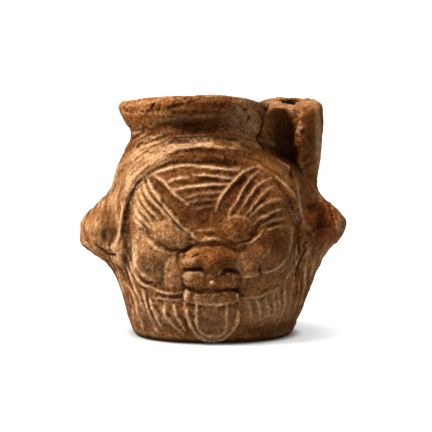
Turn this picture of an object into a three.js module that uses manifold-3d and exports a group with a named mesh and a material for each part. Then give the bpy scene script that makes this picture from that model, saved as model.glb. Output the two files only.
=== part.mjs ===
// A small moulded terracotta jug in the form of a grimacing, bearded head with its tongue out.
// It is one hollow piece of fired clay: the head, a flaring collar neck set to one side, and beside
// the neck a stubby pouring spout with a narrow bore, pinched into the shoulder by a thumb.
// Millimetres, +Z up. The face looks along -Y, and the origin is the middle of the flat foot.

import * as THREE from "three";
import { mergeVertices } from "three/addons/utils/BufferGeometryUtils.js";
import Module from "manifold-3d";

// Whole vessel
const height = 85; // foot to the crest of the rim
const wall = 5; // clay between the cavity and the head, without the carving
const floorThickness = 6;
const roundness = 2.2; // exponent of the superellipse sections, 2 is an ellipse

// Head, measured without the ears and the carving
const footWidth = 57.8;
const footDepth = 55.3;
const footRounding = 2.8; // height of the rounded edge under the head
const footInset = 3.6; // how far that edge draws in to the flat foot
const bellyWidth = 74.6;
const bellyDepth = 66;
const faceForward = 0.6; // the head's middle lies this far in front of the neck's

// Collar neck and rim
const neckWidth = 47.8;
const neckShift = -5.3; // the neck stands this far to the left of the face
const rimWidth = 53.4;
const rimShift = -7;
const lipThickness = 4; // clay between the rim's widest line and the mouth
const lipHeight = 3.5; // widest line of the rim to its crest
const lipInset = 2.5; // the crest lies this far inside the widest line
const lipRoll = 1.6; // how far the crest rolls down into the mouth
const rimDip = 1.6; // the rim is lower by this at its left and right

// Spout beside the neck
const spoutSunk = 3; // how deep its inner side lies in the neck's wall
const spoutWidth = 23.6;
const spoutDepth = 19;
const spoutBack = 11.8; // its rear side
const spoutLower = 1; // the rear edge of its sloping top lies this far under the rim's crest
const spoutSlope = 0.2; // fall of the top towards the front, per millimetre
const spoutTaper = 3; // how much the outer side draws in on the way down
const spoutRounding = 2.6;
const spoutBore = 5.4;
const spoutBoreBehind = 1.9; // the bore stands this far behind the spout's middle
const thumbReach = 4.2; // the thumb mark stops this far in front of the bore's middle
const thumbWidth = 11.2;
const thumbLength = 20.8;
const thumbDepth = 8.4;
const thumbLeft = 3.6; // the mark's middle lies this far towards the neck
const thumbDrop = 14; // and this far under the spout's rear top edge

// Ears
const earSpan = 94.4; // over the tips of both ears
const earReach = 17; // half the length of an ear's root, front to back
const earMiddle = -2; // front-to-back place of the tips

// Carving, as heights above the head's own surface and half widths
const bandHeight = 2.3;
const bandHalfWidth = 3;
const channelDepth = 1.5;
const channelHalfWidth = 1.7;
const faceStep = 1; // the face stands out of the channel round it
const foldHeight = 1.4;
const foldHalfWidth = 2.2;
const lockHeight = 1.6;
const lockHalfWidth = 2.3;
const browHeight = 2;
const browHalfWidth = 3.4;
const eyeHeight = 2.8;
const cheekHeight = 2.9;
const noseHeight = 5.4;
const upperLipHeight = 3.6;
const lowerLipHeight = 2.5;
const tongueHeight = 2.2;
const tongueRimHeight = 3;
const tongueRimHalfWidth = 2.3;
const earBowlDepth = 3.8;

const wasm = await Module();
wasm.setup();

const clamp01 = (t) => Math.min(1, Math.max(0, t));
const smooth = (low, high, t) => {
  const s = clamp01((t - low) / (high - low));
  return s * s * (3 - 2 * s);
};

// The head's upright outline. Each station is a share of the height, with the half width, the reach to
// the front, the reach to the back and the sideways shift there, all worked out from the sizes above.
const foot = footWidth / 2;
const footFront = (footDepth + faceForward) / 2;
const footBack = (footDepth - faceForward) / 2;
const belly = bellyWidth / 2;
const bellyFront = bellyDepth / 2 + faceForward;
const bellyBack = bellyDepth / 2 - faceForward;
const neck = neckWidth / 2;
const rim = rimWidth / 2;
const mix = (a, b, t) => a + (b - a) * t;
const rimLevel = 1 - lipHeight / height;
const stations = [
  [footRounding / height, foot, footFront, footBack, 0],
  [0.21, mix(foot, belly, 0.61), mix(footFront, bellyFront, 0.7), mix(footBack, bellyBack, 0.64), 0],
  [0.424, belly, bellyFront, bellyBack, 0],
  [0.588, mix(neck, belly, 0.93), mix(neck, bellyFront, 0.94), mix(neck, bellyBack, 0.91), 0],
  [0.682, mix(neck, belly, 0.65), mix(neck, bellyFront, 0.7), mix(neck, bellyBack, 0.6), neckShift * 0.34],
  [0.765, mix(neck, belly, 0.23), mix(neck, bellyFront, 0.33), mix(neck, bellyBack, 0.2), neckShift * 0.81],
  [0.841, neck, neck, neck, neckShift],
  [0.9, mix(neck, rim, 0.5), mix(neck, rim, 0.48), mix(neck, rim, 0.45), mix(neckShift, rimShift, 0.5)],
  [rimLevel, rim, rim, rim, rimShift],
];

// Smooth curve through one column of the stations: cubic between neighbours, never overshooting them.
function outline(share, column) {
  const last = stations.length - 1;
  const slopeAfter = (i) =>
    (stations[i + 1][column] - stations[i][column]) / (stations[i + 1][0] - stations[i][0]);
  const tangent = (i) => {
    if (i === 0) return slopeAfter(0);
    if (i === last) return slopeAfter(last - 1);
    const before = slopeAfter(i - 1);
    const after = slopeAfter(i);
    return before * after > 0 ? (2 * before * after) / (before + after) : 0;
  };
  const s = Math.min(Math.max(share, stations[0][0]), stations[last][0]);
  let i = 0;
  while (i < last - 1 && s > stations[i + 1][0]) i++;
  const span = stations[i + 1][0] - stations[i][0];
  const t = (s - stations[i][0]) / span;
  return (
    (1 + 2 * t) * (1 - t) ** 2 * stations[i][column] +
    t * (1 - t) ** 2 * span * tangent(i) +
    t * t * (3 - 2 * t) * stations[i + 1][column] +
    t * t * (t - 1) * span * tangent(i + 1)
  );
}

// One level section of the head as half width, half depth and middle, drawn in by the given inset.
function sectionAt(z, inset) {
  const share = z / height;
  const front = outline(share, 2);
  const back = outline(share, 3);
  return {
    halfWidth: outline(share, 1) - inset,
    halfDepth: (front + back) / 2 - inset,
    x: outline(share, 4),
    y: (back - front) / 2,
  };
}

// A point on a section, at an angle counted from the face towards the viewer's right.
function pointOn(section, angle, z) {
  const across = Math.abs(Math.sin(angle) / section.halfWidth) ** roundness;
  const along = Math.abs(Math.cos(angle) / section.halfDepth) ** roundness;
  const reach = (across + along) ** (-1 / roundness);
  return new THREE.Vector3(section.x + reach * Math.sin(angle), section.y - reach * Math.cos(angle), z);
}

// The rim sags towards its left and right, and the neck under it a little less.
function dipAt(angle, z) {
  return rimDip * Math.sin(angle) ** 2 * smooth(0.84, rimLevel, z / height);
}

// Carving is laid out in the front view, in hundredths of the belly's width and of the height.
const at = (across, up) => new THREE.Vector2((across * bellyWidth) / 100, (up * height) / 100);

// A drawn stroke: a bow from one end to the other through a middle point, kept as short straight steps.
function bow(from, middle, to, steps = 7) {
  const control = middle.clone().multiplyScalar(2).sub(from.clone().add(to).multiplyScalar(0.5));
  return new THREE.QuadraticBezierCurve(from, control, to).getPoints(steps);
}

// One point of such a bow, a share t of the way.
function pointOnBow(from, middle, to, t) {
  const control = middle.clone().multiplyScalar(2).sub(from.clone().add(to).multiplyScalar(0.5));
  return new THREE.QuadraticBezierCurve(from, control, to).getPoint(t);
}

// Half of a superellipse arch between two angles from its top, wider shouldered on the left.
function arch(centre, halfWidth, rise, leftSquareness, rightSquareness, startAngle, endAngle, steps) {
  const points = [];
  for (let i = 0; i <= steps; i++) {
    const t = THREE.MathUtils.degToRad(mix(startAngle, endAngle, i / steps));
    const power = 2 / (t < 0 ? leftSquareness : rightSquareness);
    const x = Math.sign(t) * halfWidth * Math.abs(Math.sin(t)) ** power;
    const z = Math.sign(Math.cos(t)) * rise * Math.abs(Math.cos(t)) ** power;
    points.push(new THREE.Vector2(centre.x + x, centre.y + z));
  }
  return points;
}

// Distance from a place to a stroke, and how far along it the nearest point lies, from 0 to 1.
function nearest(place, stroke) {
  let best = Infinity;
  let along = 0;
  for (let i = 0; i < stroke.length - 1; i++) {
    const a = stroke[i];
    const b = stroke[i + 1];
    const dx = b.x - a.x;
    const dz = b.y - a.y;
    const t = clamp01(((place.x - a.x) * dx + (place.y - a.y) * dz) / (dx * dx + dz * dz));
    const d = Math.hypot(place.x - a.x - t * dx, place.y - a.y - t * dz);
    if (d < best) {
      best = d;
      along = (i + t) / (stroke.length - 1);
    }
  }
  return { distance: best, along };
}

// A rounded ridge along a stroke, thinning out and sinking towards both ends by the given share. Its
// sides run out softly for a power of 2 and drop steeply for a smaller one.
function ridge(place, stroke, halfWidth, rise, thinning = 0, power = 2) {
  const { distance, along } = nearest(place, stroke);
  const full = 1 - thinning * (1 - smooth(0, 0.3, Math.min(along, 1 - along)));
  const share = distance / (halfWidth * full);
  return share < 1 ? rise * full * (1 - share * share) ** power : 0;
}

// A soft groove or swelling along a stroke, its section a bell.
function swell(place, stroke, halfWidth, rise) {
  return rise * Math.exp(-((nearest(place, stroke).distance / halfWidth) ** 2));
}

// A dome with an oval plan, turned by an angle in degrees, with steeper sides for a smaller power.
function dome(place, centre, radiusX, radiusZ, rise, turn = 0, power = 1) {
  const angle = -THREE.MathUtils.degToRad(turn);
  const offset = place.clone().sub(centre).rotateAround(new THREE.Vector2(), angle);
  const share = (offset.x / radiusX) ** 2 + (offset.y / radiusZ) ** 2;
  return share < 1 ? rise * (1 - share) ** power : 0;
}

const between = (a, b, t) => a.clone().lerp(b, t);

// The strokes of the carving. Left and right are the viewer's.
const band = arch(at(0, 40), 0.45 * bellyWidth, 0.415 * height, 2.7, 1.85, -97, 95, 30);
const channel = arch(at(0, 44.7), 0.402 * bellyWidth, 0.33 * height, 2.6, 1.9, -122, 112, 30);

// Folds across the forehead, between the brows, flatter and fainter going down.
function foreheadFolds() {
  const count = 4;
  return Array.from({ length: count }, (_, i) => {
    const t = i / (count - 1);
    const left = bow(at(-24.9, 67.1), at(-17.4, 63.1), at(-10.7, 57.2), count - 1)[i];
    const right = bow(at(11.8, 70.8), at(7.2, 65.4), at(1.6, 59.1), count - 1)[i];
    const stroke = bow(left, between(left, right, 0.45).add(at(0, 3.1).multiplyScalar((1 - t) ** 2)), right);
    return { stroke, rise: foldHeight * (1 - 0.45 * t) };
  });
}

// Locks combed from the temples down to the eyes.
function templeLocks() {
  const leftCount = 4;
  const rightCount = 5;
  const locks = [];
  for (let i = 0; i < leftCount; i++) {
    const tip = bow(at(-31.4, 66.4), at(-35.4, 59.1), at(-36.3, 50.1), leftCount - 1)[i];
    const root = pointOnBow(at(-12.1, 48.5), at(-22.1, 52), at(-32.6, 47.8), (i / (leftCount - 1)) ** 0.55);
    locks.push(bow(tip, between(tip, root, 0.5).add(at(0.5, 0.7)), root));
  }
  for (let i = 0; i < rightCount; i++) {
    const tip = bow(at(25.5, 68.9), at(31.9, 59.3), at(35.9, 48.9), rightCount - 1)[i];
    const root = bow(at(7.5, 53.6), at(17.7, 55.5), at(25.2, 48), rightCount - 1)[i];
    locks.push(bow(tip, between(tip, root, 0.5).add(at(-0.8, 1.6)), root));
  }
  return locks;
}

// Beard locks hanging under the cheeks on both sides of the tongue.
function beardLocks() {
  const count = 5;
  const locks = [];
  for (let i = 0; i < count; i++) {
    const t = i / (count - 1);
    const leftTop = bow(at(-39.9, 30.1), at(-28.7, 18.8), at(-15.3, 17.2), count - 1)[i];
    const leftEnd = between(at(-35.4, 8.2), at(-12.9, 5.2), t);
    locks.push(bow(leftTop, between(leftTop, leftEnd, 0.5).add(at(-1.2, -0.4)), leftEnd));
    const rightTop = bow(at(39.4, 32.9), at(27.3, 18.1), at(14.2, 18.4), count - 1)[i];
    const rightEnd = between(at(35.7, 11.1), at(14.5, 7.8), t);
    locks.push(bow(rightTop, between(rightTop, rightEnd, 0.5).add(at(1.2, 0)), rightEnd));
  }
  return locks;
}

const folds = foreheadFolds();
const locks = [...templeLocks(), ...beardLocks()];
const brows = [
  bow(at(-27.6, 67.1), at(-16.9, 56.7), at(-5.1, 47.3)),
  bow(at(18.5, 70.1), at(8.8, 61.6), at(1.1, 51.1)),
];
const faceFolds = [
  bow(at(-35.7, 45.4), at(-35.1, 32.9), at(-20.9, 22.8)),
  bow(at(35.4, 50.1), at(36.7, 40.9), at(30.3, 32.5)),
  bow(at(30.3, 32.5), at(23.6, 29.6), at(15.5, 28.7)),
  bow(at(-38.3, 34.4), at(-33.5, 25.4), at(-14.7, 21.9)),
  bow(at(38.9, 36.5), at(31.9, 24), at(12.9, 19.8)),
  bow(at(-30, 45.6), at(-23.1, 40), at(-15.5, 37.2)),
  bow(at(4.8, 41.9), at(15, 41.6), at(26.3, 48.1)),
];
const noseRoot = bow(at(-7.2, 44.5), at(-2.1, 45.4), at(3.2, 45.2));
const noseFold = bow(at(-18, 36.5), at(-19, 31.3), at(-19.8, 25.2));
const upperLipLeft = bow(at(-8.5, 27.3), at(-5, 27.1), at(-1, 25.3));
const upperLipRight = bow(at(7.9, 27.5), at(4.3, 27.1), at(-1, 25.3));
const tongueRim = [
  ...bow(at(-10.3, 17.6), at(-9.7, 9.9), at(-5.9, 4.7)),
  ...bow(at(-5.9, 4.7), at(0, 2.6), at(6.4, 4.9)),
  ...bow(at(6.4, 4.9), at(9.9, 9.9), at(10.5, 17.6)),
];

// Height of the carving over the head's own surface at a place in the front view. Neighbouring forms
// don't add up: the higher one shows, so that they meet in creases.
function carving(place) {
  const squareness = place.x < 0 ? 3 : 2.1;
  const across = Math.abs(place.x / (0.38 * bellyWidth)) ** squareness;
  const above = Math.max(0, (place.y - 0.447 * height) / (0.32 * height)) ** squareness;
  const edge = (across + above) ** (1 / squareness);
  const ground =
    faceStep * smooth(1.03, 0.9, edge) * smooth(0.02, 0.12, place.y / height) +
    swell(place, band, bandHalfWidth, bandHeight) -
    swell(place, channel, channelHalfWidth, channelDepth);
  const raised = [
    ...folds.map(({ stroke, rise }) => ridge(place, stroke, foldHalfWidth, rise, 0.5)),
    ...locks.map((stroke) => ridge(place, stroke, lockHalfWidth, lockHeight, 0.5)),
    ...brows.map((stroke) => ridge(place, stroke, browHalfWidth, browHeight, 0.3)),
    ...faceFolds.map((stroke) => ridge(place, stroke, foldHalfWidth, 1.3 * foldHeight, 0.5)),
    ridge(place, noseRoot, 2.6, 0.4 * noseHeight, 0.3),
    ridge(place, noseFold, 2.4, cheekHeight, 0.4),
    dome(place, at(-20.4, 43.8), 7.4, 4.8, eyeHeight, -18, 0.8),
    dome(place, at(11.3, 47.1), 6.8, 4.8, eyeHeight, 3, 0.8),
    dome(place, at(-27.6, 35.8), 6.8, 7.4, cheekHeight, -10),
    dome(place, at(26.8, 38.8), 7.4, 8.4, cheekHeight, 10),
    dome(place, at(-19.6, 30.6), 6.8, 8.0, 0.8 * cheekHeight),
    dome(place, at(19.3, 31.1), 7.8, 7.2, 0.8 * cheekHeight),
    dome(place, at(-8.7, 34.9), 5.2, 3.9, 0.78 * noseHeight, 12, 0.6),
    dome(place, at(7.8, 35.6), 4.9, 3.9, 0.74 * noseHeight, 10, 0.6),
    dome(place, at(-0.8, 35.1), 5.4, 5.8, noseHeight, 0, 0.7),
    ridge(place, upperLipLeft, 3.3, upperLipHeight, 0, 0.7),
    ridge(place, upperLipRight, 3.3, upperLipHeight, 0, 0.7),
    dome(place, at(-0.5, 20.2), 9.4, 2.8, lowerLipHeight, 0, 0.7),
    dome(place, at(-0.3, 13.9), 8.4, 10.6, tongueHeight, 0, 0.5),
    ridge(place, tongueRim, tongueRimHalfWidth, tongueRimHeight),
  ];
  return ground + Math.max(0, ...raised);
}

// Hollows in the fronts of the ears, seen from in front.
function earBowls(place) {
  return (
    dome(place, at(-49.6, 43.6), 5, 5.6, earBowlDepth) +
    dome(place, at(50.6, 47.3), 5.4, 6.4, earBowlDepth)
  );
}

// How far an ear stands out of the head's side at a level and a front-to-back place.
function earReachAt(side, z, y) {
  const lift = z / height;
  const peak = earSpan / 2 - belly;
  const over = side < 0 ? smooth(0.63, 0.45, lift) : smooth(0.64, 0.46, lift);
  const under = side < 0 ? smooth(0.285, 0.385, lift) : smooth(0.27, 0.46, lift);
  const near = clamp01(1 - ((y - earMiddle) / earReach) ** 2) ** 1.5;
  return peak * over * under * near;
}

// A point on the outside of the head, with ear, hollow and carving.
function headPoint(angle, z, inset) {
  const section = sectionAt(z, inset);
  const point = pointOn(section, angle, z);
  const side = Math.sign(point.x) || 1;
  point.x += side * earReachAt(side, z, point.y);
  const forward = (section.y - point.y) / section.halfDepth;
  const place = new THREE.Vector2(point.x, point.z);
  const shown = smooth(0.1, 0.32, forward) * smooth(0.86, 0.8, z / height) * smooth(0, 0.012, z / height);
  if (shown > 0) point.y -= carving(place) * shown;
  point.y += earBowls(place) * smooth(0, 0.12, forward);
  point.z -= dipAt(angle, z);
  return point;
}

// Triangles between two chains of points, each with a rank that grows along its chain. Where both chains
// step on together the shorter diagonal is taken, so that the edges follow the carving.
function stitch(points, faces, left, right) {
  let i = 0;
  let j = 0;
  while (i < left.length - 1 || j < right.length - 1) {
    const leftRank = left[i + 1]?.rank ?? Infinity;
    const rightRank = right[j + 1]?.rank ?? Infinity;
    let leftFirst = leftRank < rightRank;
    if (leftRank === rightRank) {
      const toLeft = points[right[j].index].distanceTo(points[left[i + 1].index]);
      const toRight = points[left[i].index].distanceTo(points[right[j + 1].index]);
      leftFirst = toLeft < toRight;
    }
    if (leftFirst) {
      faces.push(left[i].index, right[j].index, left[i + 1].index);
      i++;
    } else {
      faces.push(left[i].index, right[j].index, right[j + 1].index);
      j++;
    }
  }
}

// A closed skin from levels of points round the upright axis, with a flat cap at each end. Below the
// given level all columns are drawn, each with the levels it keeps. Above it only the columns that go
// on are drawn, with every level.
function closedSkin(angles, levelCount, pointAt, splitLevel = 0, keeps = () => true, goesOn = () => true) {
  const points = [];
  const faces = [];
  const add = (c, level, rank) => {
    points.push(pointAt(angles[c], level));
    return { rank, index: points.length - 1 };
  };
  const chains = angles.map((_, c) => {
    const chain = [];
    for (let level = 0; level <= splitLevel; level++) {
      if (level === 0 || level === splitLevel || keeps(c, level)) chain.push(add(c, level, level));
    }
    return chain;
  });
  chains.forEach((chain, c) => stitch(points, faces, chain, chains[(c + 1) % chains.length]));
  const footRing = chains.map((chain) => chain[0]);
  let ring = chains.map((chain, c) => ({ rank: c, index: chain.at(-1).index }));
  for (let level = splitLevel + 1; level < levelCount; level++) {
    const next = [];
    angles.forEach((_, c) => {
      if (goesOn(c)) next.push(add(c, level, c));
    });
    const close = (chain) => [...chain, { rank: angles.length, index: chain[0].index }];
    stitch(points, faces, close(next), close(ring));
    ring = next;
  }
  const cap = (chain, facingUp) => {
    const middle = new THREE.Vector3();
    chain.forEach(({ index }) => middle.add(points[index]));
    points.push(middle.divideScalar(chain.length));
    const centre = points.length - 1;
    chain.forEach(({ index }, c) => {
      const next = chain[(c + 1) % chain.length].index;
      faces.push(centre, ...(facingUp ? [index, next] : [next, index]));
    });
  };
  cap(footRing, false);
  cap(ring, true);
  const geometry = new THREE.BufferGeometry().setFromPoints(points);
  geometry.setIndex(faces);
  return geometry;
}

// A closed mesh as a solid that can be joined and cut.
function solid(geometry) {
  const bare = geometry.clone();
  bare.deleteAttribute("normal");
  bare.deleteAttribute("uv");
  const merged = mergeVertices(bare, 1e-4);
  const mesh = new wasm.Mesh({
    numProp: 3,
    vertProperties: new Float32Array(merged.attributes.position.array),
    triVerts: new Uint32Array(merged.index.array),
  });
  return new wasm.Manifold(mesh);
}

function geometryOf(manifold) {
  const mesh = manifold.getMesh();
  const geometry = new THREE.BufferGeometry();
  geometry.setAttribute("position", new THREE.BufferAttribute(mesh.vertProperties, 3));
  geometry.setIndex(new THREE.BufferAttribute(mesh.triVerts, 1));
  geometry.computeVertexNormals();
  return geometry;
}

const even = (count, from, to) => Array.from({ length: count }, (_, i) => mix(from, to, i / count));
const quarter = Math.PI / 2;

// Outside of the head, collar and rolled lip. The face has closer columns and levels than the rest.
function headSolid() {
  const faceHalf = THREE.MathUtils.degToRad(50);
  const bandEnd = THREE.MathUtils.degToRad(72);
  const earEnd = THREE.MathUtils.degToRad(112);
  const faceColumns = 50;
  const bandColumns = 6;
  const earColumns = 6;
  const backColumns = 10;
  const angles = [
    ...even(faceColumns, -1, 1).map((share) => Math.asin(share * Math.sin(faceHalf))),
    ...even(bandColumns, faceHalf, bandEnd),
    ...even(earColumns, bandEnd, earEnd),
    ...even(backColumns, earEnd, 2 * Math.PI - earEnd),
    ...even(earColumns, 2 * Math.PI - earEnd, 2 * Math.PI - bandEnd),
    ...even(bandColumns, 2 * Math.PI - bandEnd, 2 * Math.PI - faceHalf),
  ];
  const footSteps = 3;
  const faceTop = 0.77 * height;
  const faceLevels = 50;
  const neckLevels = 8;
  const lipSteps = 3;
  const edge = even(footSteps, 0, quarter).map((turn) => ({
    z: footRounding * (1 - Math.cos(turn)),
    inset: footInset * (1 - Math.sin(turn)),
  }));
  const lip = [...even(lipSteps, 0, quarter), quarter].map((turn) => ({
    z: rimLevel * height + lipHeight * Math.sin(turn),
    inset: lipInset * (1 - Math.cos(turn)),
  }));
  const levels = [
    ...edge,
    ...even(faceLevels, footRounding, faceTop).map((z) => ({ z, inset: 0 })),
    ...even(neckLevels, faceTop, rimLevel * height).map((z) => ({ z, inset: 0 })),
    ...lip,
    { z: height - lipRoll, inset: lipInset + lipRoll },
  ];
  const splitLevel = footSteps + faceLevels;
  const backStart = faceColumns + bandColumns + earColumns;
  const isBack = (column) => column >= backStart && column <= backStart + backColumns;
  const isFace = (column) => column <= faceColumns;
  const keeps = (column, level) =>
    isFace(column) || level <= footSteps || level % (isBack(column) ? 4 : 2) === 0;
  const goesOn = (column) => isBack(column) || column % 2 === 0;
  const pointAt = (angle, level) => headPoint(angle, levels[level].z, levels[level].inset);
  return solid(closedSkin(angles, levels.length, pointAt, splitLevel, keeps, goesOn));
}

// The space inside: the head drawn in by the wall, then the neck's bore, flaring to the mouth.
function cavitySolid() {
  const above = 5; // the cutter stands this far over the rim
  const levels = [];
  const floorSteps = 3;
  const floorRounding = 8;
  for (let i = 0; i < floorSteps; i++) {
    const turn = (i / floorSteps) * quarter;
    levels.push({
      z: floorThickness + floorRounding * (1 - Math.cos(turn)),
      inset: floorRounding * (1 - Math.sin(turn)),
    });
  }
  for (const z of even(12, floorThickness + floorRounding, height)) levels.push({ z, inset: 0 });
  levels.push({ z: height + above, inset: 0 });
  const lean = wall / 2; // the shoulder slopes, so its wall is measured a little higher up
  const pointAt = (angle, level) => {
    const { z, inset } = levels[level];
    const here = sectionAt(z, 0);
    const higher = sectionAt(z + lean, 0);
    const draw = wall + inset;
    const section = {
      halfWidth: Math.min(here.halfWidth, higher.halfWidth) - draw,
      halfDepth: Math.min(here.halfDepth, higher.halfDepth) - draw,
      x: z + lean < 0.8 * height ? here.x : higher.x,
      y: here.y,
    };
    const open = smooth(0.84, rimLevel, z / height);
    section.halfWidth = mix(section.halfWidth, rim - lipThickness, open);
    section.halfDepth = mix(section.halfDepth, rim - lipThickness, open);
    return pointOn(section, angle, z);
  };
  return solid(closedSkin(even(22, 0, 2 * Math.PI), levels.length, pointAt));
}

// Places of the spout's parts, from the neck it leans on
const spoutLeft = neckShift + neck - spoutSunk;
const spoutRight = spoutLeft + spoutWidth;
const spoutTop = height - spoutLower;
const spoutX = (spoutLeft + spoutRight) / 2;
const spoutY = spoutBack - spoutDepth / 2;

// The spout: an oval post with a sloping top, rooted in the shoulder.
function spoutSolid() {
  const root = 0.5 * height;
  const levels = [];
  const sideSteps = 6;
  for (const t of even(sideSteps, 0, 1)) levels.push({ t, inset: 0, drop: spoutRounding });
  const roundSteps = 3;
  for (let i = 0; i <= roundSteps; i++) {
    const turn = (i / roundSteps) * quarter;
    levels.push({
      t: 1,
      inset: spoutRounding * (1 - Math.cos(turn)),
      drop: spoutRounding * (1 - Math.sin(turn)),
    });
  }
  const pointAt = (angle, level) => {
    const { t, inset, drop } = levels[level];
    const right = spoutRight - spoutTaper * (1 - t) ** 1.3;
    const section = {
      halfWidth: (right - spoutLeft) / 2 - inset,
      halfDepth: spoutDepth / 2 - inset,
      x: (right + spoutLeft) / 2,
      y: spoutY,
    };
    const point = pointOn(section, angle, 0);
    const top = spoutTop - spoutSlope * (spoutBack - point.y) - drop;
    point.z = mix(root, top, t);
    return point;
  };
  return solid(closedSkin(even(20, 0, 2 * Math.PI), levels.length, pointAt));
}

// The thumb mark that presses the front of the spout in, beside the neck.
function thumbMark() {
  const geometry = new THREE.SphereGeometry(1, 16, 10);
  geometry.scale(thumbWidth / 2, thumbDepth, thumbLength / 2);
  const y = spoutY + spoutBoreBehind - thumbReach - thumbDepth;
  geometry.translate(spoutX - thumbLeft, y, spoutTop - thumbDrop);
  return solid(geometry);
}

// The spout's bore, straight down into the cavity.
function boreSolid() {
  const top = spoutTop + wall;
  const bottom = 0.6 * height;
  const geometry = new THREE.CylinderGeometry(spoutBore / 2, spoutBore / 2, top - bottom, 16);
  geometry.rotateX(quarter);
  geometry.translate(spoutX, spoutY + spoutBoreBehind, (top + bottom) / 2);
  return solid(geometry);
}

const vessel = new THREE.Mesh(
  geometryOf(
    headSolid().add(spoutSolid().subtract(thumbMark())).subtract(cavitySolid()).subtract(boreSolid()),
  ),
  new THREE.MeshStandardMaterial({ color: 0x96663f, roughness: 0.88, metalness: 0 }),
);
vessel.name = "vessel";

const jug = new THREE.Group();
jug.add(vessel);

export default jug;
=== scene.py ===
import math
import bpy
import numpy as np
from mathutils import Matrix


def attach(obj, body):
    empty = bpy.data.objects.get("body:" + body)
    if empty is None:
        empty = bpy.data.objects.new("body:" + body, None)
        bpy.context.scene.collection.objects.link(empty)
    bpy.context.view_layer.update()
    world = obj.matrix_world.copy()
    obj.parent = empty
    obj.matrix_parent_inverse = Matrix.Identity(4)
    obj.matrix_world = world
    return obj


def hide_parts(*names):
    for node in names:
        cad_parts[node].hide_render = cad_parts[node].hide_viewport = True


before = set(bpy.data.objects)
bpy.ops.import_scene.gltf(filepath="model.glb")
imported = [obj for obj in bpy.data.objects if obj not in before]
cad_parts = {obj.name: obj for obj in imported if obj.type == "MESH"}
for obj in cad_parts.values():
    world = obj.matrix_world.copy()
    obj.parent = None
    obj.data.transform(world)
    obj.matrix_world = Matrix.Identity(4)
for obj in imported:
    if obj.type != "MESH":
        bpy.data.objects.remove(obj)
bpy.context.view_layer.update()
mm = 0.001

# All shapes below are worked out in millimetres, in the vessel's own frame: the face looks along -Y.


# Goes straight from a to b: a + (b - a) t.
def mix(a, b, t):
    return a + (b - a) * t


# Rises from 0 to 1 between low and high as 3s^2 - 2s^3.
def smooth(low, high, t):
    s = np.clip((t - low) / (high - low), 0, 1)
    return s * s * (3 - 2 * s)


# Cubic through the stations, with each tangent the harmonic mean of its neighbouring slopes.
def curveThrough(x, stationX, stationY):
    step = np.diff(stationX)
    slope = np.diff(stationY) / step
    tangent = np.zeros(len(stationX))
    tangent[0], tangent[-1] = slope[0], slope[-1]
    product = slope[:-1] * slope[1:]
    total = slope[:-1] + slope[1:]
    tangent[1:-1] = np.where(product > 0, 2 * product / np.where(total == 0, 1, total), 0)
    x = np.clip(x, stationX[0], stationX[-1])
    i = np.clip(np.searchsorted(stationX, x, side="right") - 1, 0, len(stationX) - 2)
    t = (x - stationX[i]) / step[i]
    return ((1 + 2 * t) * (1 - t) ** 2 * stationY[i] + t * (1 - t) ** 2 * step[i] * tangent[i]
            + t * t * (3 - 2 * t) * stationY[i + 1] + t * t * (t - 1) * step[i] * tangent[i + 1])


# Random values on a cubic lattice of the given size, blended between the eight nearest corners, -1 to 1.
def lumps(points, size, seed):
    table = np.random.RandomState(seed).uniform(-1, 1, (32, 32, 32))
    q = points / size
    cell = np.floor(q).astype(int)
    f = q - cell
    f = f * f * (3 - 2 * f)
    value = np.zeros(len(points))
    for corner in range(8):
        c = np.array([corner & 1, corner >> 1 & 1, corner >> 2 & 1])
        k = (cell + c) % 32
        weight = np.prod(np.where(c == 1, f, 1 - f), axis=1)
        value += weight * table[k[:, 0], k[:, 1], k[:, 2]]
    return value


# Lumps of several sizes added up; each layer is a share, a size and a seed.
def layered(points, layers):
    return sum(share * lumps(points, size, seed) for share, size, seed in layers)


# Places of the front view as points (x, 0, z).
def flatPoints(x, z):
    return np.stack([x.ravel(), 0 * x.ravel(), z.ravel()], axis=1)


# Main form of the head, its cavity and its lip.
head = dict(
    height=85, roundness=2.2, footRounding=2.8, footInset=3, wall=5, floor=6, floorRounding=8,
    lipHeight=2.3, lipInset=2.3, lipRoll=1.6, lipThickness=4.2, rimDip=1.6, backDip=2.6,
    neckStart=66, cavityTop=92, columnsBehind=42, faceColumns=233, earColumns=33, faceEnd=66, earEnd=103,
)
# Ears: over and under are the shares of the height where they run out, at the left and at the right.
ear = dict(
    span=94.4, reach=17, middle=-2, over=((0.63, 0.45), (0.64, 0.46)), under=((0.285, 0.385), (0.27, 0.46)),
    level=(6, 9, 12.1, 15.3, 18.5, 21.7, 24.9, 28, 31),
    fullerLeft=(0, -0.3, -1, -1, -0.7, 0, 1.3, 1, 0), fullerRight=(0, 0.3, 0.4, 1, 1.3, 1.5, 1.9, 0.5, 0),
)
rimZ = head["height"] - head["lipHeight"]
# level, half width, reach to the front, reach to the back, sideways shift
outline = np.array([
    [2.8, 28.9, 27.95, 27.35, 0], [17.85, 34, 31.8, 30.6, 0], [36.04, 37.3, 33.6, 32.4, 0],
    [50, 36.36, 33, 31.6, 0], [58, 32.6, 30.7, 29, -1.8], [65, 27, 27.1, 25.6, -4.3],
    [71.5, 23.9, 23.9, 23.9, -5.3], [76.5, 25.3, 25.25, 25.2, -6.15], [82.7, 26.9, 26.9, 26.9, -7.05],
])


# Half width, half depth, middle x and middle y of the level section at z.
def sectionAt(z):
    halfWidth, front, back, shift = (curveThrough(z, outline[:, 0], outline[:, k]) for k in (1, 2, 3, 4))
    return halfWidth, (front + back) / 2, shift, (back - front) / 2


# Superellipse: reach at an angle = (|sin/halfWidth|^n + |cos/halfDepth|^n)^(-1/n), angle 0 at the face.
def around(angle, halfWidth, halfDepth, x, y):
    n = head["roundness"]
    reach = (np.abs(np.sin(angle) / halfWidth) ** n + np.abs(np.cos(angle) / halfDepth) ** n) ** (-1 / n)
    return x + reach * np.sin(angle), y - reach * np.cos(angle)


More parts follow.
